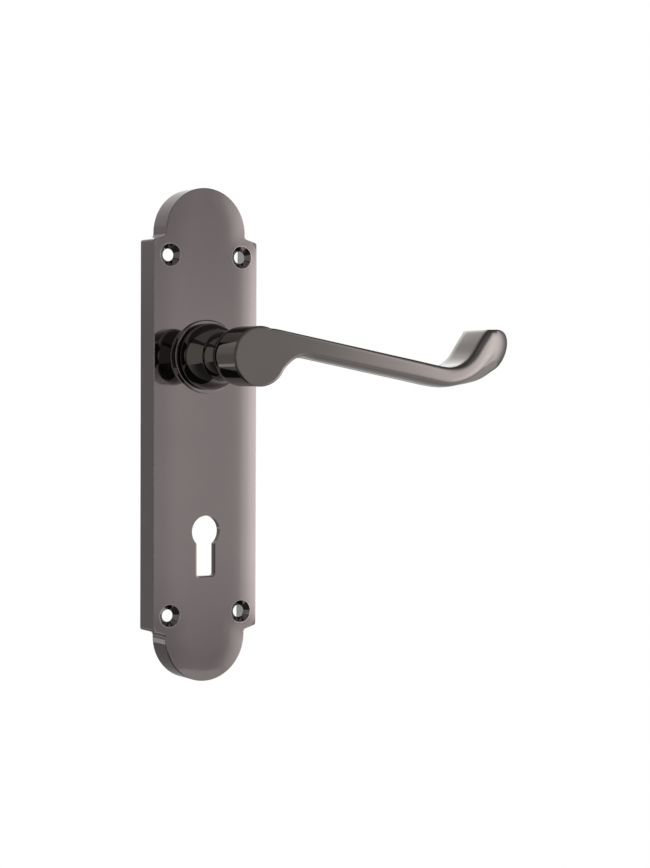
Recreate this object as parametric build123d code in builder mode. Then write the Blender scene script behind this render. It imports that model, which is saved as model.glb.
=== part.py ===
from build123d import *
from math import acos, asin, cos, degrees, radians, sin, sqrt
import os

# Lever handle on a backplate, one side of a door set for a lever lock.
# The origin is on the spindle axis at the door face. +X runs along the lever, +Z is up and
# the front looks toward -Y. Heights named "_h" are distances from the door face toward -Y.

# Backplate casting
plate_height = 160.8
plate_depth = 9.2
plate_drop = 25.6
end_stub = 1.3
ledge_width = 4.55
ledge_rise = 1.3
ledge_outer_round = 0.9
ledge_inner_round = 1.2
face_wall = 2.0
side_wall = 2.2
face_edge_round = 0.35
crown_width = 4.0
crown_drop = 0.3
collar_radius = 12.0
collar_height = 1.0
collar_edge_round = 0.4

# Fixing screws and keyhole
screw_side_inset = 5.95
screw_ledge_inset = 4.8
screw_hole_radius = 2.0
screw_sink_radius = 3.7
screw_sink_angle = 90
keyhole_drop = 57.0
keyhole_radius = 5.2
key_slot_width = 6.4
key_slot_drop = 14.6
key_slot_round = 0.9
keyhole_edge_round = 0.5

# Lever hub, neck and drum
bulb_radius = 10.8
bulb_base_run = 1.3
bulb_base_round = 0.4
waist_radius = 5.8
waist_run = 12.15
neck_length = 22.0
drum_radius = 9.5
drum_depth = 10.8
edge_round = 0.45
front_stock = 0.3

# Lever arm and scroll
arm_slope = 10.0
arm_run = 70.4
arm_front_height = 5.4
arm_belly = 1.3
belly_corner = 0.1
arm_depth = 10.8
arm_back_round = 1.2
root_length = 4.0
root_drop = 0.5
root_sink = 0.8
junction_radius = 11.0
scroll_radius = 13.0
scroll_turn = 66.0
scroll_depth = 12.7
lip_widening = 1.7
scroll_swell = 12.0
swell_run = 75.0
swell_length = 17.0
lip_length = 8.9
lip_radius = 90.0
lip_lean = 91.0
lip_front_height = 2.6
lip_tilt = 1.0
lip_cap = 7.0
lip_taper = 0.4
lip_back_flare = 1.0
lip_inner_inset = 0.25
lip_outer_inset = 10.0
# Where the loft has a section: shares of the arm's run, steps of the curl, turns of the cap
arm_shares = (0, 0.03, 0.07, 0.11, 0.14, 0.18, 0.23, 0.31, 0.45, 0.6, 0.75, 0.88)
curl_steps = 8
cap_turns = (25, 45, 62, 78)

# Shank, spindle socket and clip groove
shank_radius = 8.0
shank_flat = 6.9
shank_end_gap = 0.3
socket_width = 8.2
socket_depth = 18.5
groove_depth = 0.7
groove_clearance = 0.1

# Nylon bush
bush_wall = 1.2
bush_flange = 0.6
bush_flange_reach = 0.95
running_fit = 0.05
axial_play = 0.05

# Spring cassette behind the plate
cup_side_gap = 0.85
cup_wall = 0.7
cup_floor = 0.6
cover_thickness = 0.6
cover_gap = 0.2
ear_radius = 3.6
ear_screw_radius = 1.5
screw_head_radius = 2.6
screw_head_height = 1.1
screw_head_round = 0.44
screw_length = 3.6
screw_clearance = 0.15
recess_width = 2.4
recess_depth = 0.5
boss_radius = 3.2
boss_gap = 1.0
post_radius = 1.1
post_wall_gap = 0.55
cover_hole_clearance = 0.6
washer_thickness = 0.6
washer_radius = 10.8
washer_gap = 0.1
clip_thickness = 0.8
clip_width = 1.7
clip_opening = 70.0
clip_lug_radius = 1.2
clip_end_land = 0.4

# Spring driver and spiral spring
driver_wall = 1.85
driver_plate = 0.6
finger_width = 4.0
finger_angle = 180.0
lever_travel = 38.0
stop_gap = 0.1
spring_thickness = 0.5
spring_pitch = 0.95
spring_turns = 2
spring_gap = 0.35
spring_side_gap = 0.2
hook_length = 1.6
hook_gap = 0.1
hook_turn = 120.0

# Levels that follow from the stack, all measured from the door face
floor_h = plate_depth - face_wall
cup_h = floor_h - cup_floor
bush_top_h = plate_depth + collar_height
lever_base_h = bush_top_h + bush_flange + axial_play
bulb_center_h = lever_base_h + bulb_base_run
waist_h = bulb_center_h + waist_run
drum_back_h = lever_base_h + neck_length
front_h = drum_back_h + drum_depth
clip_h = shank_end_gap + clip_end_land
washer_h = clip_h + clip_thickness + groove_clearance
cover_h = washer_h + washer_thickness + washer_gap
cover_top_h = cover_h + cover_thickness
driver_h = cover_top_h + cover_gap
spring_h = driver_h + driver_plate + spring_side_gap
spring_width = cup_h - spring_side_gap - spring_h

# Radii of the bush and the cassette, worked out from the shank outwards
bush_radius = shank_radius + running_fit + bush_wall
bush_flange_radius = bush_radius + bush_flange_reach
driver_radius = shank_radius + running_fit + driver_wall
spring_inner = driver_radius + spring_gap + spring_thickness / 2
spring_outer = spring_inner + spring_turns * spring_pitch
post_circle = spring_outer + spring_thickness / 2 + hook_gap + post_radius
cup_radius = post_circle + post_radius + post_wall_gap + cup_wall
ear_reach = cup_radius + boss_gap + boss_radius

# The plate is as wide as its walls round the cassette, and the holes keep to its corners
plate_width = 2 * (cup_radius + cup_side_gap + side_wall)
end_radius = plate_width / 2 - ledge_width
shoulder_height = plate_height - 2 * (end_radius + end_stub + ledge_rise)
screw_spacing_x = plate_width - 2 * screw_side_inset
screw_spacing_z = shoulder_height - 2 * screw_ledge_inset


def front_plane(height, origin_z=0.0):
    """A plane parallel to the door face, at this height, with x along +X and y along +Z."""
    return Plane(origin=(0, -height, origin_z), x_dir=(1, 0, 0), z_dir=(0, -1, 0))


def save(part, name):
    """Label a finished piece and write it under its own name."""
    part.label = name
    export_step(part, f"parts/{name}.step")


def is_at_keyhole(point):
    """Whether a point of the plate's face lies at the keyhole."""
    below = -keyhole_drop - point.Z
    return abs(point.X) <= keyhole_radius and -keyhole_radius <= below <= key_slot_drop


def is_hollow_corner(point):
    """Whether a point of the plate's side lies where a half-round end springs from its ledge."""
    off_x = abs(abs(point.X) - end_radius)
    off_z = abs(abs(point.Z + plate_drop) - shoulder_height / 2 - ledge_rise)
    return off_x < 0.01 and off_z < 0.01


os.makedirs("parts", exist_ok=True)

# Backplate: a hollow-backed casting with half-round ends above and below sloping ledges
with BuildPart() as backplate:
    with BuildSketch(front_plane(0, -plate_drop)) as plate_outline:
        with BuildLine():
            arc_height = plate_height / 2 - end_radius
            CenterArc((0, arc_height), end_radius, 0, 90)
            Polyline(
                (end_radius, arc_height),
                (end_radius, shoulder_height / 2 + ledge_rise),
                (plate_width / 2, shoulder_height / 2),
                (plate_width / 2, 0),
                (0, 0),
                (0, plate_height / 2),
            )
        make_face()
        mirror(about=Plane.YZ)
        mirror(about=Plane.XZ)
    extrude(amount=plate_depth)
    # The face rolls off gently towards its rim
    front_face = backplate.faces().sort_by(Axis.Y)[0]
    chamfer(front_face.edges(), length=crown_width, length2=crown_drop, reference=front_face)
    side_edges = backplate.edges().filter_by(Axis.Y)
    corner_edges = side_edges.group_by(lambda e: round(abs(e.center().X), 3))[-1]
    fillet(corner_edges, ledge_outer_round)
    side_edges = backplate.edges().filter_by(Axis.Y)
    hollow_edges = side_edges.filter_by(lambda e: is_hollow_corner(e.center()))
    fillet(hollow_edges, ledge_inner_round)
    rim_level = -plate_depth + crown_drop
    rim_edges = backplate.edges().filter_by_position(Axis.Y, rim_level - 0.001, rim_level + 0.001)
    fillet(rim_edges, face_edge_round)
    with BuildSketch(front_plane(0, -plate_drop)):
        offset(plate_outline.sketch_local, amount=-side_wall)
    extrude(amount=floor_h, mode=Mode.SUBTRACT)
    # Collar round the lever's bulb, and the two posts that take the cassette's screws
    with BuildSketch(front_plane(floor_h)):
        Circle(collar_radius)
    extrude(amount=face_wall + collar_height)
    with BuildSketch(front_plane(cover_top_h)):
        with Locations((0, ear_reach), (0, -ear_reach)):
            Circle(boss_radius)
    extrude(amount=floor_h - cover_top_h)
    collar_rim = backplate.edges().filter_by(GeomType.CIRCLE).sort_by(Axis.Y)[0]
    fillet(collar_rim, collar_edge_round)
    with BuildSketch(front_plane(0)):
        Circle(bush_radius)
    extrude(amount=bush_top_h, mode=Mode.SUBTRACT)
    with Locations(front_plane(plate_depth, -plate_drop)):
        with GridLocations(screw_spacing_x, screw_spacing_z, 2, 2):
            CounterSinkHole(screw_hole_radius, screw_sink_radius, counter_sink_angle=screw_sink_angle)
    with BuildSketch(front_plane(0, -keyhole_drop)) as keyhole:
        with Locations((0, -key_slot_drop / 2)):
            Rectangle(key_slot_width, key_slot_drop)
        fillet(keyhole.vertices().group_by(Axis.Y)[0], key_slot_round)
        Circle(keyhole_radius)
    extrude(amount=plate_depth, mode=Mode.SUBTRACT)
    # Buffing has eased the edge of the keyhole
    key_edges = backplate.edges().filter_by_position(Axis.Y, -plate_depth - 0.001, -plate_depth + 0.001)
    key_edges = key_edges.filter_by(lambda e: is_at_keyhole(e.center()))
    fillet(key_edges, keyhole_edge_round)
    with BuildSketch(front_plane(cover_top_h)):
        with Locations((0, ear_reach), (0, -ear_reach)):
            Circle(ear_screw_radius)
    extrude(amount=screw_length - cover_thickness, mode=Mode.SUBTRACT)
save(backplate.part, "backplate")

# Bush: a flanged nylon sleeve pressed into the collar, in which the shank turns
with BuildPart() as spindle_bush:
    with BuildSketch(front_plane(cup_h)):
        Circle(bush_radius)
    extrude(amount=bush_top_h - cup_h)
    with BuildSketch(front_plane(bush_top_h)):
        Circle(bush_flange_radius)
    extrude(amount=bush_flange)
    with BuildSketch(front_plane(cup_h)):
        Circle(shank_radius + running_fit)
    extrude(amount=bush_top_h + bush_flange - cup_h, mode=Mode.SUBTRACT)
save(spindle_bush.part, "spindle_bush")

# Cassette cup: a pressed pan that lies on the inside of the plate's face
with BuildPart() as cassette_cup:
    with BuildSketch(front_plane(cover_top_h)):
        Circle(cup_radius)
    extrude(amount=floor_h - cover_top_h)
    with BuildSketch(front_plane(cover_top_h)):
        Circle(cup_radius - cup_wall)
    extrude(amount=cup_h - cover_top_h, mode=Mode.SUBTRACT)
    with BuildSketch(front_plane(cup_h)):
        Circle(bush_radius)
    extrude(amount=cup_floor, mode=Mode.SUBTRACT)
save(cassette_cup.part, "cassette_cup")

# Cassette cover: a disc with two ears that closes the cup and carries the pull of the lever
with BuildPart() as cassette_cover:
    with BuildSketch(front_plane(cover_h)):
        Circle(cup_radius)
        with Locations((0, ear_reach), (0, -ear_reach)):
            Circle(ear_radius)
        Rectangle(2 * ear_radius, 2 * ear_reach)
        Circle(shank_radius + cover_hole_clearance, mode=Mode.SUBTRACT)
        with Locations((0, ear_reach), (0, -ear_reach)):
            Circle(ear_screw_radius + screw_clearance, mode=Mode.SUBTRACT)
    extrude(amount=cover_thickness)
save(cassette_cover.part, "cassette_cover")

# Cassette screws: two small pan heads with a cross recess, driven into the posts from behind
with BuildPart() as cassette_screws:
    with BuildSketch(front_plane(cover_h - screw_head_height)):
        with Locations((0, ear_reach), (0, -ear_reach)):
            Circle(screw_head_radius)
    extrude(amount=screw_head_height)
    head_rims = cassette_screws.edges().filter_by(GeomType.CIRCLE).group_by(Axis.Y)[-1]
    fillet(head_rims, screw_head_round)
    with BuildSketch(front_plane(cover_h)):
        with Locations((0, ear_reach), (0, -ear_reach)):
            Circle(ear_screw_radius)
    extrude(amount=screw_length)
    with BuildSketch(front_plane(cover_h - screw_head_height)):
        with Locations((0, ear_reach), (0, -ear_reach)):
            Rectangle(recess_width, recess_depth)
            Rectangle(recess_depth, recess_width)
    extrude(amount=recess_depth, mode=Mode.SUBTRACT)
save(cassette_screws.part, "cassette_screws")

# Stop posts: riveted between cup and cover, one each side of the driver's finger
finger_half = degrees(asin((finger_width / 2 + post_radius + stop_gap) / post_circle))
with BuildPart() as stop_posts:
    with BuildSketch(front_plane(cover_top_h)):
        with PolarLocations(post_circle, 1, finger_angle + finger_half):
            Circle(post_radius)
        with PolarLocations(post_circle, 1, finger_angle - lever_travel - finger_half):
            Circle(post_radius)
    extrude(amount=cup_h - cover_top_h)
save(stop_posts.part, "stop_posts")

# Anchor post: holds the outer hook of the spring
with BuildPart() as spring_post:
    with BuildSketch(front_plane(cover_top_h)):
        with Locations((post_circle, 0)):
            Circle(post_radius)
    extrude(amount=cup_h - cover_top_h)
save(spring_post.part, "spring_post")

# Spring driver: a sleeve with two flats, a slot for the spring and a finger between the posts
with BuildPart() as spring_driver:
    with BuildSketch(front_plane(driver_h)):
        Circle(driver_radius)
    extrude(amount=cup_h - cover_gap - driver_h)
    with BuildSketch(front_plane(driver_h)):
        with PolarLocations((post_circle + post_radius) / 2, 1, finger_angle):
            Rectangle(post_circle + post_radius, finger_width)
    extrude(amount=driver_plate)
    with BuildSketch(front_plane(driver_h)):
        Circle(shank_radius + running_fit)
        Rectangle(4 * shank_radius, 2 * (shank_flat + running_fit), mode=Mode.INTERSECT)
    extrude(amount=cup_h - driver_h, mode=Mode.SUBTRACT)
    with BuildSketch(front_plane(spring_h)):
        with Locations((spring_inner, 0)):
            Rectangle(2 * (hook_length + hook_gap), spring_thickness + 2 * hook_gap)
    extrude(amount=cup_h - spring_h, mode=Mode.SUBTRACT)
save(spring_driver.part, "spring_driver")

# Return spring: a flat strip wound as a spiral of half turns, hooked on the driver and a post
with BuildPart() as return_spring:
    with BuildSketch(front_plane(spring_h)):
        with BuildLine() as spring_line:
            Line((spring_inner - hook_length, 0), (spring_inner + spring_thickness / 2, 0))
            for half_turn in range(2 * spring_turns):
                side = 1 if half_turn % 2 == 0 else -1
                radius = spring_inner + spring_pitch / 4 + half_turn * spring_pitch / 2
                CenterArc((-side * spring_pitch / 4, 0), radius, 90 - side * 90, 180)
            hook_radius = post_radius + hook_gap + spring_thickness / 2
            CenterArc((post_circle, 0), hook_radius, 180, -hook_turn)
        trace(spring_line.line, spring_thickness)
    extrude(amount=spring_width)
save(return_spring.part, "return_spring")

# Thrust washer: a steel ring behind the cover
with BuildPart() as thrust_washer:
    with BuildSketch(front_plane(washer_h)):
        Circle(washer_radius)
        Circle(shank_radius + running_fit, mode=Mode.SUBTRACT)
    extrude(amount=washer_thickness)
save(thrust_washer.part, "thrust_washer")

# Circlip: an open ring in the shank's groove, with two pierced lugs
groove_radius = shank_radius - groove_depth
with BuildPart() as circlip:
    with BuildSketch(front_plane(clip_h)):
        Circle(groove_radius + clip_width)
        Circle(groove_radius, mode=Mode.SUBTRACT)
        with BuildLine():
            reach = 2 * (groove_radius + clip_width)
            half = radians(clip_opening / 2)
            Polyline(
                (0, 0), (reach * sin(half), -reach * cos(half)), (-reach * sin(half), -reach * cos(half)),
                close=True,
            )
        make_face(mode=Mode.SUBTRACT)
        lug_circle = groove_radius + clip_width / 2
        with PolarLocations(lug_circle, 2, -90 - clip_opening / 2, clip_opening, endpoint=True):
            Circle(clip_lug_radius)
            Circle(clip_lug_radius / 2, mode=Mode.SUBTRACT)
        Circle(groove_radius, mode=Mode.SUBTRACT)
    extrude(amount=clip_thickness)
save(circlip.part, "circlip")


def arm_place(run):
    """Point on the arm's upper edge after this run, and the direction of travel in degrees."""
    slope = radians(-arm_slope)
    along = min(run, arm_run)
    x = drum_radius * sin(radians(arm_slope)) + along * cos(slope)
    z = drum_radius * cos(radians(arm_slope)) + along * sin(slope)
    heading = -arm_slope
    curl = min(max(run - arm_run, 0), scroll_radius * radians(scroll_turn))
    if curl > 0:
        center_x = x - scroll_radius * sin(slope)
        center_z = z + scroll_radius * cos(slope)
        heading += degrees(curl / scroll_radius)
        x = center_x + scroll_radius * sin(radians(heading))
        z = center_z - scroll_radius * cos(radians(heading))
    lip = run - arm_run - curl
    if lip > 0:
        center_x = x + lip_radius * sin(radians(heading))
        center_z = z - lip_radius * cos(radians(heading))
        heading -= degrees(lip / lip_radius)
        x = center_x - lip_radius * sin(radians(heading))
        z = center_z + lip_radius * cos(radians(heading))
    return x, z, heading


def ease(value):
    """A smooth step from 0 to 1."""
    value = min(max(value, 0), 1)
    return value * value * (3 - 2 * value)


curl_length = scroll_radius * radians(scroll_turn)
arm_length = arm_run + curl_length + lip_length


def junction_height(run):
    """Front height of the arm near the drum, where its underside sweeps down to the drum."""
    flat = arm_front_height
    center_drop = flat + junction_radius
    center_off = drum_radius - center_drop
    center_run = sqrt((drum_radius + junction_radius) ** 2 - center_off**2)
    touch_run = center_run * drum_radius / (drum_radius + junction_radius)
    if run >= center_run:
        return flat
    if run >= touch_run:
        return center_drop - sqrt(junction_radius**2 - (center_run - run) ** 2)
    return drum_radius + sqrt(drum_radius**2 - run**2) * root_sink


def arm_section(run, closing=0.0):
    """One cross-section of the arm, with its flat front and its bellied underside."""
    x, z, heading = arm_place(run)
    lipped = ease((run - arm_run - curl_length) / lip_length)
    lean = heading + (lip_lean - heading) * lipped
    swelled = ease((run - swell_run) / swell_length)
    height = junction_height(run) + (lip_front_height - arm_front_height) * swelled
    belly = arm_belly * ease(run / (2 * drum_radius)) + scroll_swell * swelled
    depth = arm_depth + (scroll_depth - arm_depth) * ease(run / arm_run)
    depth += lip_widening * ease((run - arm_run) / curl_length)
    tilt = radians(lip_tilt * lipped)
    plane = Plane(
        origin=(x, -front_h, z),
        x_dir=(sin(radians(lean)), 0, -cos(radians(lean))),
        z_dir=(cos(radians(lean)) * cos(tilt), sin(tilt), sin(radians(lean)) * cos(tilt)),
    )
    front = -front_stock
    back = depth + closing * lip_back_flare
    top = closing * lip_inner_inset + root_drop * (1 - ease(run / root_length))
    low = height * (1 - closing * lip_taper)
    # The curve's middle lies three quarters of the way to its two inner points
    peak = height + (belly - closing * lip_outer_inset) * 4 / 3
    full_back = back - belly_corner * depth
    full_front = belly_corner * depth
    with BuildSketch(plane) as section:
        with BuildLine():
            Line((top, front), (top, back - arm_back_round))
            RadiusArc((top, back - arm_back_round), (top + arm_back_round, back), arm_back_round)
            Line((top + arm_back_round, back), (low, back))
            Bezier((low, back), (peak, full_back), (peak, full_front), (low, front))
            Line((low, front), (top, front))
        make_face()
    return section.sketch


# Lever: one casting of bulb, waisted neck, drum, drooping arm and upturned scroll end
with BuildPart() as lever:
    # The waist's two arcs meet at its thinnest point with a common tangent
    low_gap = bulb_radius - waist_radius
    low_radius = ((waist_h - bulb_center_h) ** 2 - low_gap * (bulb_radius + waist_radius)) / (2 * low_gap)
    high_gap = drum_radius - waist_radius
    high_radius = ((drum_back_h - waist_h) ** 2 + high_gap**2) / (2 * high_gap)
    low_center = waist_radius + low_radius
    touch = bulb_radius / (bulb_radius + low_radius)
    neck_start = (low_center * touch, bulb_center_h + (waist_h - bulb_center_h) * touch)
    with BuildSketch(Plane(origin=(0, 0, 0), x_dir=(1, 0, 0), z_dir=(0, 0, -1))):
        with BuildLine():
            Polyline((0, drum_back_h), (0, lever_base_h), (bulb_radius, lever_base_h),
                     (bulb_radius, bulb_center_h))
            CenterArc((0, bulb_center_h), bulb_radius, 0, degrees(acos(neck_start[0] / bulb_radius)))
            RadiusArc(neck_start, (waist_radius, waist_h), -low_radius)
            RadiusArc((waist_radius, waist_h), (drum_radius, drum_back_h), -high_radius)
            Line((drum_radius, drum_back_h), (0, drum_back_h))
        make_face()
    revolve(axis=Axis.Y)
    fillet(lever.edges().filter_by(GeomType.CIRCLE).sort_by(Axis.Y)[-1], bulb_base_round)
    with BuildSketch(front_plane(drum_back_h)):
        Circle(drum_radius)
    extrude(amount=drum_depth + front_stock)
    # Arm and scroll: a loft along the drooping run, the curl and the lip, with a rounded end
    for share in arm_shares:
        add(arm_section(share * arm_run))
    for step in range(curl_steps + 1):
        add(arm_section(arm_run + (arm_length - lip_cap - arm_run) * step / curl_steps))
    for turn in cap_turns:
        reach = arm_length - lip_cap * (1 - sin(radians(turn)))
        add(arm_section(reach, 1 - cos(radians(turn))))
    loft()
    # The front is cut flat in one pass over drum, arm and scroll, and its edge is rounded
    with BuildSketch(front_plane(front_h)):
        Rectangle(4 * arm_length, 4 * arm_length)
    extrude(amount=2 * front_stock, mode=Mode.SUBTRACT)
    lever_front = lever.faces().filter_by(Axis.Y).sort_by(Axis.Y)[0]
    fillet(lever_front.edges(), edge_round)
    # Shank: two flats for the driver, a clip groove and a square socket for the spindle
    with BuildSketch(front_plane(shank_end_gap)):
        Circle(shank_radius)
    extrude(amount=lever_base_h - shank_end_gap)
    with BuildSketch(front_plane(shank_end_gap)):
        Circle(2 * shank_radius)
        Rectangle(4 * shank_radius, 2 * shank_flat, mode=Mode.SUBTRACT)
    extrude(amount=cup_h - shank_end_gap, mode=Mode.SUBTRACT)
    with BuildSketch(front_plane(clip_h - groove_clearance)):
        Circle(2 * shank_radius)
        Circle(groove_radius, mode=Mode.SUBTRACT)
    extrude(amount=clip_thickness + 2 * groove_clearance, mode=Mode.SUBTRACT)
    with BuildSketch(front_plane(shank_end_gap)):
        Rectangle(socket_width, socket_width)
    extrude(amount=socket_depth, mode=Mode.SUBTRACT)
save(lever.part, "lever")
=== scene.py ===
import math

import bpy
from mathutils import Matrix, Vector

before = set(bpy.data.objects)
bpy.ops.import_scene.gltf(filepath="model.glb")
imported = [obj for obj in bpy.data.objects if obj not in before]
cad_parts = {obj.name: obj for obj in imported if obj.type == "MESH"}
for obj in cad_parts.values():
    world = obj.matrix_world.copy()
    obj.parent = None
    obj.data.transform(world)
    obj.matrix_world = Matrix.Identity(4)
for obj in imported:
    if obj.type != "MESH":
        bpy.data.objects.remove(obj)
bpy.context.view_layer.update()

# The photographer's camera: a long lens, 33 degrees to the left of the plate's front and level
# with the spindle, turned a quarter of a degree on its own axis. Its place was fitted to the
# plate's outline.
view_turn = math.radians(-33.0)
view_rise = math.radians(1.71)
view_roll = math.radians(0.26)
view_distance = 0.70074
view_aim = Vector((0.05214, 0.0, -0.02607))
lens_mm, sensor_mm = 84.58, 36.0
nearest_seen, farthest_seen = 0.01, 20.0

back = Vector((
    math.sin(view_turn) * math.cos(view_rise),
    -math.cos(view_turn) * math.cos(view_rise),
    math.sin(view_rise),
))
level_right = Vector((math.cos(view_turn), math.sin(view_turn), 0.0))
level_up = back.cross(level_right)
right = level_right * math.cos(view_roll) + level_up * math.sin(view_roll)
up = level_up * math.cos(view_roll) - level_right * math.sin(view_roll)
camera_data = bpy.data.cameras.new("camera")
camera_data.lens = lens_mm
camera_data.sensor_width = sensor_mm
camera_data.clip_start = nearest_seen
camera_data.clip_end = farthest_seen
camera = bpy.data.objects.new("camera", camera_data)
camera.matrix_world = Matrix.Translation(view_aim + back * view_distance) @ Matrix(
    (right, up, back)
).transposed().to_4x4()
bpy.context.scene.collection.objects.link(camera)
bpy.context.scene.camera = camera

# Backplate: a zinc casting with a hollow back, ground flat on its face, buffed until the rim
# rolls off, and plated in black nickel. Four countersunk woodscrews hold it on the door.
plate_colour, plate_roughness = (0.205, 0.175, 0.176), 0.05
# The rim's lighter tone is partly thin worn plating and partly a painted highlight on the rim and
# round the countersinks
rim_highlight_colour, rim_roughness = (0.30, 0.28, 0.27), 0.25
bare_colour, bare_roughness = (0.70, 0.71, 0.73), 0.48

# The plating's pattern: scales of cloud, polishing lines and ripple, and how the lines dull it
cloud_scale, line_scale, ripple_scale = 38.0, 900.0, 90.0
cloud_span = (0.3, 0.7)
line_dulling = (0.72, 1.28)
polish_height, crown_unit = 0.0001, 0.001
bevel_samples = 24

# The plate's outline in millimetres about its middle, as the casting has it
mm_per_metre = 1000.0
plate_middle = 25.6
half_width, half_shoulder = 19.25, 63.1
ledge_rise, ledge_width = 1.3, 4.55
ledge_pitch = ledge_rise / ledge_width
end_radius, end_centre = 14.7, 65.7
chamfer_width, chamfer_fall = 4.0, 0.3
hole_place, sink_radius = (13.3, 58.3), 3.65
hollow_depth = 7.3

# How the buffing wore it: where the face begins to fall, and where the plating is thin and a
# highlight is painted
crown_start, crown_share, corner_blend = 10.5, 0.75, 7.0
rim_width, sink_rim_width, inner_gap = 1.0, 0.16, 0.8

# A surface's normal along Y: below the first on the flat face, near the second on the round rim
face_normal = -0.98
rim_normal, rim_normal_spread = -0.64, 0.33


def add_node(tree, kind, where, **settings):
    """Adds a shader node, places it and sets its options and plain input values."""
    node = tree.nodes.new(kind)
    node.location = where
    for name, value in settings.items():
        if name in node.inputs:
            node.inputs[name].default_value = value
        else:
            setattr(node, name, value)
    return node


def calc(tree, where, operation, *values):
    """Adds a math node whose inputs are sockets or plain numbers, and returns its output."""
    node = add_node(tree, "ShaderNodeMath", where, operation=operation)
    for index, value in enumerate(values):
        if isinstance(value, (int, float)):
            node.inputs[index].default_value = value
        else:
            tree.links.new(value, node.inputs[index])
    return node.outputs[0]


def rescale(tree, where, value, from_span=(0.0, 1.0), to_span=(0.0, 1.0)):
    """Carries a value from one span to another, clamped at its ends, and returns the output."""
    node = add_node(tree, "ShaderNodeMapRange", where)
    labels = ("From Min", "From Max", "To Min", "To Max")
    for label, number in zip(labels, (*from_span, *to_span)):
        node.inputs[label].default_value = number
    tree.links.new(value, node.inputs["Value"])
    return node.outputs["Result"]


def noise(tree, where, vector, **settings):
    """Adds a noise texture at the given coordinates, and returns its value."""
    node = add_node(tree, "ShaderNodeTexNoise", where, **settings)
    tree.links.new(vector, node.inputs["Vector"])
    return node.outputs["Fac"]


def start_group(name, inputs, outputs):
    """Begins a shader node group with named sockets, and returns it with its two end nodes."""
    group = bpy.data.node_groups.new(name, "ShaderNodeTree")
    for label, kind, value in inputs:
        socket = group.interface.new_socket(label, in_out="INPUT", socket_type=kind)
        socket.default_value = value
    for label, kind in outputs:
        group.interface.new_socket(label, in_out="OUTPUT", socket_type=kind)
    inlet = add_node(group, "NodeGroupInput", (-900, 0))
    outlet = add_node(group, "NodeGroupOutput", (700, 0))
    return group, inlet, outlet


def make_plated_surface():
    """Cloudy tint of the plating, fine polishing lines and the slight ripple of a buffed face."""
    group, inlet, outlet = start_group(
        "plated surface",
        [
            ("Plate colour", "NodeSocketColor", (0.2, 0.17, 0.17, 1.0)),
            ("Roughness", "NodeSocketFloat", 0.15),
            ("Line stretch", "NodeSocketVector", (1.0, 1.0, 1.0)),
            ("Line depth", "NodeSocketFloat", 0.05),
            ("Ripple depth", "NodeSocketFloat", 0.1),
            ("Tint spread", "NodeSocketFloat", 0.08),
        ],
        [
            ("Colour", "NodeSocketColor"),
            ("Roughness", "NodeSocketFloat"),
            ("Height", "NodeSocketFloat"),
        ],
    )
    link = group.links.new
    place = add_node(group, "ShaderNodeTexCoord", (-900, -300)).outputs["Object"]

    cloud = noise(group, (-500, 250), place, Scale=cloud_scale, Detail=4.0, Roughness=0.55)
    tint = rescale(group, (-300, 250), cloud, from_span=cloud_span, to_span=(-1.0, 1.0))
    tint = calc(group, (-100, 250), "MULTIPLY_ADD", tint, inlet.outputs["Tint spread"], 1.0)
    shade = add_node(group, "ShaderNodeVectorMath", (100, 250), operation="SCALE")
    link(inlet.outputs["Plate colour"], shade.inputs[0])
    link(tint, shade.inputs["Scale"])
    link(shade.outputs[0], outlet.inputs["Colour"])

    stretch = add_node(group, "ShaderNodeVectorMath", (-700, -300), operation="MULTIPLY")
    link(place, stretch.inputs[0])
    link(inlet.outputs["Line stretch"], stretch.inputs[1])
    lines = noise(group, (-500, -200), stretch.outputs[0], Scale=line_scale, Detail=3.0,
                  Roughness=0.6)
    dulling = rescale(group, (-300, -50), lines, to_span=line_dulling)
    dulling = calc(group, (-100, -50), "MULTIPLY", dulling, inlet.outputs["Roughness"])
    link(dulling, outlet.inputs["Roughness"])

    ripple = noise(group, (-500, -480), place, Scale=ripple_scale, Detail=1.0)
    height = calc(group, (-100, -250), "MULTIPLY", lines, inlet.outputs["Line depth"])
    height = calc(group, (100, -350), "MULTIPLY_ADD", ripple, inlet.outputs["Ripple depth"],
                  height)
    link(height, outlet.inputs["Height"])
    return group


def clear_tree(owner):
    """Turns on the shader nodes of a material or the world, and empties them."""
    owner.use_nodes = True
    owner.node_tree.nodes.clear()
    return owner.node_tree


def start_material(name, metallic, ior=1.5):
    """A material with its Principled shader joined to the output."""
    material = bpy.data.materials.new(name)
    tree = clear_tree(material)
    output = add_node(tree, "ShaderNodeOutputMaterial", (900, 0))
    shader = add_node(tree, "ShaderNodeBsdfPrincipled", (600, 0), Metallic=metallic, IOR=ior)
    tree.links.new(shader.outputs["BSDF"], output.inputs["Surface"])
    return material, tree, shader


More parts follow.
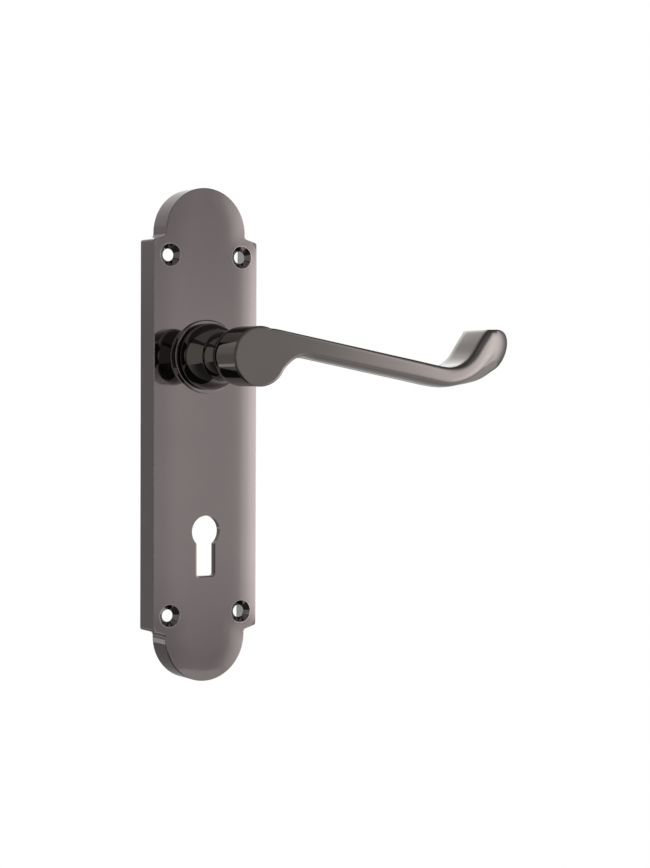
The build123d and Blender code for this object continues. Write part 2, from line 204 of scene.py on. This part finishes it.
def plate_material(name, surface, colour, roughness, stretch, line_depth, ripple_depth, tint,
                   worn_along=None, worn_radii=None):
    """Black nickel over polished zinc, its edges worn rounder along X where a span is given."""
    material, tree, shader = start_material(name, metallic=1.0)
    finish = add_node(tree, "ShaderNodeGroup", (100, 0), node_tree=surface)
    for label, value in (
        ("Plate colour", (*colour, 1.0)),
        ("Roughness", roughness),
        ("Line stretch", stretch),
        ("Line depth", line_depth),
        ("Ripple depth", ripple_depth),
        ("Tint spread", tint),
    ):
        finish.inputs[label].default_value = value
    bump = add_node(tree, "ShaderNodeBump", (350, -250), Strength=1.0, Distance=polish_height)
    if worn_along:
        place = add_node(tree, "ShaderNodeTexCoord", (-450, -450))
        parts = add_node(tree, "ShaderNodeSeparateXYZ", (-250, -450))
        tree.links.new(place.outputs["Object"], parts.inputs[0])
        radius = rescale(tree, (-50, -450), parts.outputs["X"], worn_along, worn_radii)
        worn = add_node(tree, "ShaderNodeBevel", (150, -450), samples=bevel_samples)
        tree.links.new(radius, worn.inputs["Radius"])
        tree.links.new(worn.outputs["Normal"], bump.inputs["Normal"])
    tree.links.new(finish.outputs["Colour"], shader.inputs["Base Color"])
    tree.links.new(finish.outputs["Roughness"], shader.inputs["Roughness"])
    tree.links.new(finish.outputs["Height"], bump.inputs["Height"])
    tree.links.new(bump.outputs["Normal"], shader.inputs["Normal"])
    return material, tree, bump, shader


def dress(node, material):
    """Gives a CAD node its finish, in every slot that its mesh has."""
    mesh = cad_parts[node].data
    if not mesh.materials:
        mesh.materials.append(material)
    for index in range(len(mesh.materials)):
        mesh.materials[index] = material


def measure_plate(tree, where):
    """Millimetres across and along from the plate's middle, both ways alike, and in depth."""
    x, y = where
    place = add_node(tree, "ShaderNodeTexCoord", (x, y))
    parts = add_node(tree, "ShaderNodeSeparateXYZ", (x + 180, y))
    tree.links.new(place.outputs["Object"], parts.inputs[0])
    across = calc(tree, (x + 360, y + 150), "MULTIPLY", parts.outputs["X"], mm_per_metre)
    across = calc(tree, (x + 540, y + 150), "ABSOLUTE", across)
    along = calc(tree, (x + 360, y - 150), "MULTIPLY_ADD", parts.outputs["Z"], mm_per_metre,
                 plate_middle)
    along = calc(tree, (x + 540, y - 150), "ABSOLUTE", along)
    depth = calc(tree, (x + 360, y - 400), "MULTIPLY", parts.outputs["Y"], mm_per_metre)
    return across, along, depth


def gaps_to_outline(tree, where, across, along):
    """How far in from the plate's outline a point lies, true and with its corners blended."""
    x, y = where
    side_gap = calc(tree, (x, y + 250), "SUBTRACT", half_width, across)
    ledge_line = calc(tree, (x, y + 100), "MULTIPLY_ADD", across, -ledge_pitch,
                      half_shoulder + ledge_pitch * half_width)
    ledge_gap = calc(tree, (x + 180, y + 100), "SUBTRACT", ledge_line, along)
    ledge_gap = calc(tree, (x + 360, y + 100), "MULTIPLY", ledge_gap,
                     math.cos(math.atan(ledge_pitch)))
    past_centre = calc(tree, (x, y - 100), "SUBTRACT", along, end_centre)
    past_centre = calc(tree, (x + 180, y - 100), "MAXIMUM", past_centre, 0.0)
    along_square = calc(tree, (x + 360, y - 100), "POWER", past_centre, 2.0)
    across_square = calc(tree, (x + 360, y - 250), "MULTIPLY", across, across)
    from_centre = calc(tree, (x + 540, y - 100), "ADD", along_square, across_square)
    from_centre = calc(tree, (x + 720, y - 100), "SQRT", from_centre)
    end_gap = calc(tree, (x + 900, y - 100), "SUBTRACT", end_radius, from_centre)
    box_gap = calc(tree, (x + 540, y + 200), "MINIMUM", side_gap, ledge_gap)
    gap = calc(tree, (x + 1080, y + 100), "MAXIMUM", box_gap, end_gap)
    soft_gap = calc(tree, (x + 540, y + 400), "SMOOTH_MIN", side_gap, ledge_gap, corner_blend)
    soft_gap = calc(tree, (x + 1080, y + 400), "SMOOTH_MAX", soft_gap, end_gap, corner_blend)
    return gap, soft_gap


def roll_off(tree, where, gap, soft_gap, on_face):
    """Height in millimetres that turns the face's flat chamfer into one long soft roll-off."""
    x, y = where
    share = rescale(tree, (x, y + 200), soft_gap, from_span=(crown_start, 0.0))
    # The slope grows as a smoothstep, so the fall is the share's cube less half its fourth power
    cube = calc(tree, (x + 180, y + 250), "POWER", share, 3.0)
    fourth = calc(tree, (x + 180, y + 100), "POWER", share, 4.0)
    soft_fall = calc(tree, (x + 360, y + 200), "MULTIPLY_ADD", fourth, -0.5, cube)
    soft_fall = calc(tree, (x + 540, y + 200), "MULTIPLY", soft_fall, crown_start * crown_share)
    flat_fall = calc(tree, (x + 180, y - 100), "SUBTRACT", chamfer_width, gap)
    flat_fall = calc(tree, (x + 360, y - 100), "MAXIMUM", flat_fall, 0.0)
    added = calc(tree, (x + 720, y), "SUBTRACT", flat_fall, soft_fall)
    added = calc(tree, (x + 900, y), "MULTIPLY", added, on_face)
    return calc(tree, (x + 1080, y), "MULTIPLY", added, chamfer_fall / chamfer_width)


def worn_and_highlight_rims(tree, where, across, along, gap, normal):
    """Where buffing thinned the plating and a highlight is painted: on the rounded rim and round
    the countersinks.
    """
    x, y = where
    hole_across = calc(tree, (x, y), "SUBTRACT", across, hole_place[0])
    hole_along = calc(tree, (x, y - 150), "SUBTRACT", along, hole_place[1])
    from_hole = calc(tree, (x + 180, y), "MULTIPLY", hole_across, hole_across)
    from_hole = calc(tree, (x + 360, y), "MULTIPLY_ADD", hole_along, hole_along, from_hole)
    from_hole = calc(tree, (x + 540, y), "SQRT", from_hole)
    sink_rim = calc(tree, (x + 720, y), "COMPARE", from_hole, sink_radius, sink_rim_width)
    by_outline = calc(tree, (x + 540, y - 150), "LESS_THAN", gap, rim_width)
    rounded = calc(tree, (x + 540, y - 300), "COMPARE", normal, rim_normal, rim_normal_spread)
    rounded = calc(tree, (x + 720, y - 200), "MULTIPLY", rounded, by_outline)
    return calc(tree, (x + 900, y - 100), "MAXIMUM", rounded, sink_rim)


def bare_inside(tree, where, depth, gap):
    """Where the casting was left unplated: inside its hollow back."""
    x, y = where
    behind_face = calc(tree, (x, y), "COMPARE", depth, -hollow_depth / 2, hollow_depth / 2)
    within_walls = calc(tree, (x, y - 150), "GREATER_THAN", gap, inner_gap)
    return calc(tree, (x + 180, y), "MULTIPLY", behind_face, within_walls)


def change_where(tree, where, mask, shader_input, new_value):
    """Puts a mix before a linked shader input, which changes it where the mask is 1."""
    is_colour = shader_input.type == "RGBA"
    mix = add_node(tree, "ShaderNodeMix", where, data_type="RGBA" if is_colour else "FLOAT")
    # A Mix node has sockets for every kind of data: these are the colour's, or the number's
    first, second, result = (6, 7, 2) if is_colour else (2, 3, 0)
    tree.links.new(mask, mix.inputs[0])
    tree.links.new(shader_input.links[0].from_socket, mix.inputs[first])
    mix.inputs[second].default_value = new_value
    tree.links.new(mix.outputs[result], shader_input)


plated_surface = make_plated_surface()
backplate_nickel, backplate_tree, backplate_bump, backplate_shader = plate_material(
    "backplate_nickel", plated_surface, plate_colour, plate_roughness,
    stretch=(1.0, 1.0, 0.06), line_depth=0.02, ripple_depth=0.05, tint=0.03,
)
across, along, depth = measure_plate(backplate_tree, (-3300, -700))
gap, soft_gap = gaps_to_outline(backplate_tree, (-2580, -700), across, along)
geometry = add_node(backplate_tree, "ShaderNodeNewGeometry", (-1700, -1100))
normal_parts = add_node(backplate_tree, "ShaderNodeSeparateXYZ", (-1520, -1100))
backplate_tree.links.new(geometry.outputs["True Normal"], normal_parts.inputs[0])
normal = normal_parts.outputs["Y"]
on_face = calc(backplate_tree, (-1340, -1000), "LESS_THAN", normal, face_normal)

crown_bump = add_node(backplate_tree, "ShaderNodeBump", (150, -450), Strength=1.0,
                      Distance=crown_unit)
crown_height = roll_off(backplate_tree, (-1140, -700), gap, soft_gap, on_face)
backplate_tree.links.new(crown_height, crown_bump.inputs["Height"])
backplate_tree.links.new(crown_bump.outputs["Normal"], backplate_bump.inputs["Normal"])

thin_plating_and_highlight = worn_and_highlight_rims(backplate_tree, (-1140, -1200), across, along, gap, normal)
bare_zinc = bare_inside(backplate_tree, (-1140, -1700), depth, gap)
# On the rim and round the countersinks the lighter tone is partly thin plating and partly a
# painted highlight
for column, mask, tone, roughness in (
    (300, thin_plating_and_highlight, rim_highlight_colour, rim_roughness),
    (400, bare_zinc, bare_colour, bare_roughness),
):
    change_where(backplate_tree, (column, 300), mask, backplate_shader.inputs["Base Color"],
                 (*tone, 1.0))
    change_where(backplate_tree, (column, 100), mask, backplate_shader.inputs["Roughness"],
                 roughness)
dress("backplate", backplate_nickel)

# Lever: one zinc casting from the shank in the bush to the scroll, buffed along its length,
# rounder toward the scroll, and plated like the plate. A circlip keeps it in its bush.
lever_colour, lever_roughness = (0.134, 0.119, 0.114), 0.06
lever_nickel = plate_material(
    "lever_nickel", plated_surface, lever_colour, lever_roughness,
    stretch=(0.08, 1.0, 1.0), line_depth=0.012, ripple_depth=0.04, tint=0.03,
    worn_along=(0.012, 0.095), worn_radii=(0.0010, 0.0036),
)[0]
dress("lever", lever_nickel)

# Bush and spring driver: moulded black nylon, slightly mottled and dull where it has run.
# The bush is pressed into the plate's collar, and the driver slides on the shank's two flats.
nylon_colour = (0.022, 0.022, 0.023)


def vary_tone(tree, where, value, shader, colour, strengths):
    """Runs the shader's colour between two strengths of one colour as the value rises."""
    tone = add_node(tree, "ShaderNodeValToRGB", where)
    for element, strength in zip(tone.color_ramp.elements, strengths):
        element.color = (*[strength * part for part in colour], 1.0)
    tree.links.new(value, tone.inputs["Fac"])
    tree.links.new(tone.outputs["Color"], shader.inputs["Base Color"])


def vary_roughness(tree, where, value, shader, roughnesses):
    """Runs the shader's roughness between two values as the value rises."""
    gloss = rescale(tree, where, value, to_span=roughnesses)
    tree.links.new(gloss, shader.inputs["Roughness"])


def raise_grain(tree, where, value, shader, strength, height):
    """Raises a pattern a little out of the surface."""
    bump = add_node(tree, "ShaderNodeBump", where, Strength=strength, Distance=height)
    tree.links.new(value, bump.inputs["Height"])
    tree.links.new(bump.outputs["Normal"], shader.inputs["Normal"])


def nylon_material():
    """Black nylon with the faint grain of its mould."""
    material, tree, shader = start_material("black_nylon", metallic=0.0, ior=1.53)
    place = add_node(tree, "ShaderNodeTexCoord", (-500, 0)).outputs["Object"]
    grain = noise(tree, (-300, -200), place, Scale=1400.0, Detail=2.0)
    mottle = noise(tree, (-300, 100), place, Scale=160.0, Detail=3.0)
    vary_tone(tree, (-50, 100), mottle, shader, nylon_colour, strengths=(0.7, 1.5))
    vary_roughness(tree, (-50, -150), mottle, shader, roughnesses=(0.34, 0.52))
    raise_grain(tree, (300, -300), grain, shader, strength=0.4, height=0.00005)
    return material


black_nylon = nylon_material()
for node in ("spindle_bush", "spring_driver"):
    dress(node, black_nylon)

# Cassette: a pressed steel cup and its cover with two ears, the riveted posts between them, the
# thrust washer and the two screws, all bright zinc-plated with a fine spangle.
zinc_colour = (0.58, 0.59, 0.60)


def zinc_material():
    """Bright zinc over pressed steel: fine spangle and thin rolling marks."""
    material, tree, shader = start_material("zinc_plated_steel", metallic=1.0)
    place = add_node(tree, "ShaderNodeTexCoord", (-700, 0)).outputs["Object"]
    spangle = add_node(tree, "ShaderNodeTexVoronoi", (-400, 150), Scale=420.0, Randomness=1.0)
    tree.links.new(place, spangle.inputs["Vector"])
    rolled = add_node(tree, "ShaderNodeMapping", (-550, -200), Scale=(1.0, 1.0, 0.05))
    tree.links.new(place, rolled.inputs["Vector"])
    marks = noise(tree, (-350, -200), rolled.outputs["Vector"], Scale=700.0, Detail=4.0)
    vary_tone(tree, (-100, 150), spangle.outputs["Distance"], shader, zinc_colour,
              strengths=(0.86, 1.12))
    vary_roughness(tree, (-100, -150), marks, shader, roughnesses=(0.26, 0.44))
    raise_grain(tree, (300, -300), marks, shader, strength=0.3, height=0.00003)
    return material


zinc_steel = zinc_material()
for node in ("cassette_cup", "cassette_cover", "cassette_screws", "stop_posts", "spring_post",
             "thrust_washer"):
    dress(node, zinc_steel)

# Return spring and circlip: hardened spring steel, oil-blackened, so nearly black with a
# bluish sheen. The strip is wound as a spiral and hooked on the driver and round its post.
spring_colour = (0.075, 0.078, 0.088)


def spring_steel_material():
    """Oil-blackened spring steel with a streaky sheen."""
    material, tree, shader = start_material("oiled_spring_steel", metallic=1.0)
    place = add_node(tree, "ShaderNodeTexCoord", (-600, 0)).outputs["Object"]
    streak = noise(tree, (-350, 100), place, Scale=260.0, Detail=5.0, Distortion=0.6)
    vary_tone(tree, (-50, 150), streak, shader, spring_colour, strengths=(0.6, 1.7))
    vary_roughness(tree, (-50, -150), streak, shader, roughnesses=(0.22, 0.46))
    return material


spring_steel = spring_steel_material()
for node in ("return_spring", "circlip"):
    dress(node, spring_steel)

# Floor: a plain pale board, painted matt. It lies well below the handle, which hangs in the air
# as it does on its door, and it isn't part of the object.
floor_level, floor_size = -0.32, 12.0
floor_colour = (0.82, 0.82, 0.82)


def lay_rectangle(name, width, height, level=0.0):
    """A flat rectangle about the origin, facing up."""
    half_x, half_y = width / 2, height / 2
    mesh = bpy.data.meshes.new(name)
    mesh.from_pydata(
        [(-half_x, -half_y, level), (half_x, -half_y, level),
         (half_x, half_y, level), (-half_x, half_y, level)],
        [], [(0, 1, 2, 3)],
    )
    piece = bpy.data.objects.new(name, mesh)
    bpy.context.scene.collection.objects.link(piece)
    return piece


def background_white(tree, plain, white, output):
    """Shows white to the camera, in polished metal and through holes, and plain to all else."""
    path = add_node(tree, "ShaderNodeLightPath", (-300, 300))
    seen = calc(tree, (-100, 350), "MAXIMUM", path.outputs["Is Camera Ray"],
                path.outputs["Is Glossy Ray"])
    seen = calc(tree, (60, 350), "MAXIMUM", seen, path.outputs["Is Transmission Ray"])
    mix = add_node(tree, "ShaderNodeMixShader", (300, 100))
    tree.links.new(seen, mix.inputs["Fac"])
    tree.links.new(plain.outputs[0], mix.inputs[1])
    tree.links.new(white.outputs[0], mix.inputs[2])
    tree.links.new(mix.outputs[0], output.inputs["Surface"])


floor = lay_rectangle("floor", floor_size, floor_size, floor_level)
floor_paint = bpy.data.materials.new("floor_paint")
floor_tree = clear_tree(floor_paint)
background_white(
    floor_tree,
    add_node(floor_tree, "ShaderNodeBsdfDiffuse", (0, 0), Color=(*floor_colour, 1.0)),
    add_node(floor_tree, "ShaderNodeEmission", (0, -150), Strength=1.0),
    add_node(floor_tree, "ShaderNodeOutputMaterial", (600, 0)),
)
floor.data.materials.append(floor_paint)

# Studio: an even pale room, with glowing sheets and dark cards round the handle that the
# polished metal shows as its light and dark tones, as in a photographer's tent.
room_light = 0.75
room_colour = (1.0, 1.0, 1.0, 1.0)
world = bpy.data.worlds.new("studio")
bpy.context.scene.world = world
world_tree = clear_tree(world)
background_white(
    world_tree,
    add_node(world_tree, "ShaderNodeBackground", (0, 0), Color=room_colour, Strength=room_light),
    add_node(world_tree, "ShaderNodeBackground", (0, -150), Color=room_colour, Strength=1.0),
    add_node(world_tree, "ShaderNodeOutputWorld", (600, 0)),
)


def shade_run(tree, where, value, stops):
    """A smooth run of light along one side of a card, from (place, light) pairs."""
    peak = max(light for _, light in stops)
    ramp = add_node(tree, "ShaderNodeValToRGB", where)
    ramp.color_ramp.interpolation = "CARDINAL"
    elements = ramp.color_ramp.elements
    while len(elements) < len(stops):
        elements.new(0.5)
    for element, (place, light) in zip(elements, stops):
        element.position = place
        element.color = (light / peak, light / peak, light / peak, 1.0)
    tree.links.new(value, ramp.inputs["Fac"])
    return calc(tree, (where[0] + 300, where[1]), "MULTIPLY", ramp.outputs["Color"], peak)


def card(name, where, target, size, across, upward, tone=(1.0, 1.0, 1.0)):
    """A card that glows with a run of light across and one upward, unseen by the camera."""
    piece = lay_rectangle(name, *size)
    piece.location = where
    direction = Vector(target) - piece.location
    piece.rotation_euler = direction.to_track_quat("-Z", "Y").to_euler()
    paint = bpy.data.materials.new(name)
    tree = clear_tree(paint)
    place = add_node(tree, "ShaderNodeTexCoord", (-500, 0))
    parts = add_node(tree, "ShaderNodeSeparateXYZ", (-300, 0))
    tree.links.new(place.outputs["Generated"], parts.inputs[0])
    light = calc(tree, (450, 0), "MULTIPLY",
                 shade_run(tree, (-100, 150), parts.outputs["X"], across),
                 shade_run(tree, (-100, -150), parts.outputs["Y"], upward))
    glow = add_node(tree, "ShaderNodeEmission", (650, 0), Color=(*tone, 1.0))
    output = add_node(tree, "ShaderNodeOutputMaterial", (900, 0))
    tree.links.new(light, glow.inputs["Strength"])
    tree.links.new(glow.outputs[0], output.inputs["Surface"])
    piece.data.materials.append(paint)
    piece.visible_camera = False


def steady(light):
    """The same light from one side of a card to the other."""
    return [(0.0, light), (1.0, light)]


def toward(azimuth, distance, height):
    """A place round the spindle, its azimuth counted from the front toward the lever's side."""
    turn = math.radians(azimuth)
    return (distance * math.sin(turn), -distance * math.cos(turn), height)


# In front: the run of light that the plate's face mirrors, brightest on the right, where the
# face rolls off
card("front_sheet", toward(32.0, 0.9, 0.14), toward(32.0, 0.0, 0.14), size=(1.6, 0.88),
     across=[(0.0, 0.8), (0.40, 0.84), (0.456, 0.97), (0.4915, 0.98), (0.516, 1.36),
             (0.549, 2.35), (0.576, 3.4), (0.61, 4.2), (0.7, 4.2), (1.0, 3.4)],
     upward=[(0.0, 0.7), (0.085, 0.71), (0.18, 1.0), (0.30, 1.0), (0.397, 0.92), (0.48, 0.78),
             (0.60, 0.76), (0.66, 0.72), (0.74, 0.45), (0.82, 0.25), (1.0, 0.2)])

# Behind the camera and on the left: two dark cards, with a window before the second
card("camera_sheet", toward(-38.0, 1.1, 0.1), toward(-38.0, 0.0, 0.1), size=(1.1, 0.84),
     across=steady(0.06), upward=steady(1.0))
card("left_sheet", toward(-95.0, 0.8, 0.35), toward(-95.0, 0.0, 0.35), size=(1.5, 1.3),
     across=steady(0.07), upward=steady(1.0))
card("left_window", toward(-88.0, 0.70, 0.13), toward(-88.0, 0.0, 0.13), size=(1.0, 0.84),
     across=steady(0.46), upward=steady(1.0), tone=(0.98, 1.0, 0.94))

# Above and below: a dim roof, a dark board on the left and a paler one on the lever's side
card("roof_sheet", (0.0, -0.1, 0.95), (0.0, -0.09, 0.0), size=(3.0, 2.2),
     across=steady(0.28), upward=steady(1.0))
card("low_sheet", (-0.5, 0.2, -0.30), (-0.5, 0.21, 0.0), size=(1.0, 1.6),
     across=steady(1.0), upward=[(0.0, 0.3), (0.48, 0.27), (0.65, 0.08), (1.0, 0.08)])
card("low_right_sheet", (0.9, 0.3, -0.30), (0.9, 0.31, 0.0), size=(1.8, 1.2),
     across=[(0.0, 0.42), (0.11, 0.65), (0.3, 1.0), (1.0, 1.0)],
     upward=[(0.0, 0.6), (0.4, 0.6), (0.62, 1.0), (1.0, 1.8)])

# A narrow lamp on the left, which fades out to all its sides
card("edge_lamp", toward(-55.0, 0.85, 0.05), (0.0, 0.0, 0.0), size=(0.24, 0.5),
     across=[(0.0, 0.0), (0.5, 3.5), (1.0, 0.0)],
     upward=[(0.0, 0.0), (0.5, 1.0), (1.0, 0.0)])

# Behind: the back wall, a bright sheet for the scroll's inner side, and a small one for the side
# of the plate's upper arc
card("rear_sheet", (0.0, 1.0, 0.40), (0.0, 0.0, 0.40), size=(3.2, 1.4),
     across=steady(1.0),
     upward=[(0.0, 0.40), (0.24, 0.40), (0.32, 0.50), (0.45, 0.55), (0.60, 0.7), (0.72, 0.8),
             (0.84, 0.5), (1.0, 0.28)])
card("lip_sheet", (0.20, 0.30, 0.30), (0.20, 0.0, 0.30), size=(0.64, 0.44),
     across=[(0.0, 2.1), (0.70, 2.1), (0.84, 1.2), (1.0, 0.7)],
     upward=[(0.0, 0.5), (0.18, 1.0), (0.33, 1.0), (0.45, 0.6), (1.0, 0.5)])
card("arc_sheet", (-0.003, 0.08, 0.1085), (-0.003, 0.0, 0.1085), size=(0.116, 0.093),
     across=[(0.0, 0.9), (0.5, 0.92), (0.8, 0.72), (1.0, 0.6)], upward=steady(1.0))

# On the right: a sheet that falls off toward the back, for the plate's right margin
card("right_sheet", toward(100.0, 0.9, 0.14), toward(100.0, 0.0, 0.14), size=(1.1, 0.88),
     across=[(0.0, 3.4), (0.12, 2.6), (0.3, 1.3), (0.5, 0.5), (0.75, 0.3), (1.0, 0.3)],
     upward=steady(1.0))

bpy.context.scene.view_settings.view_transform = "Standard"
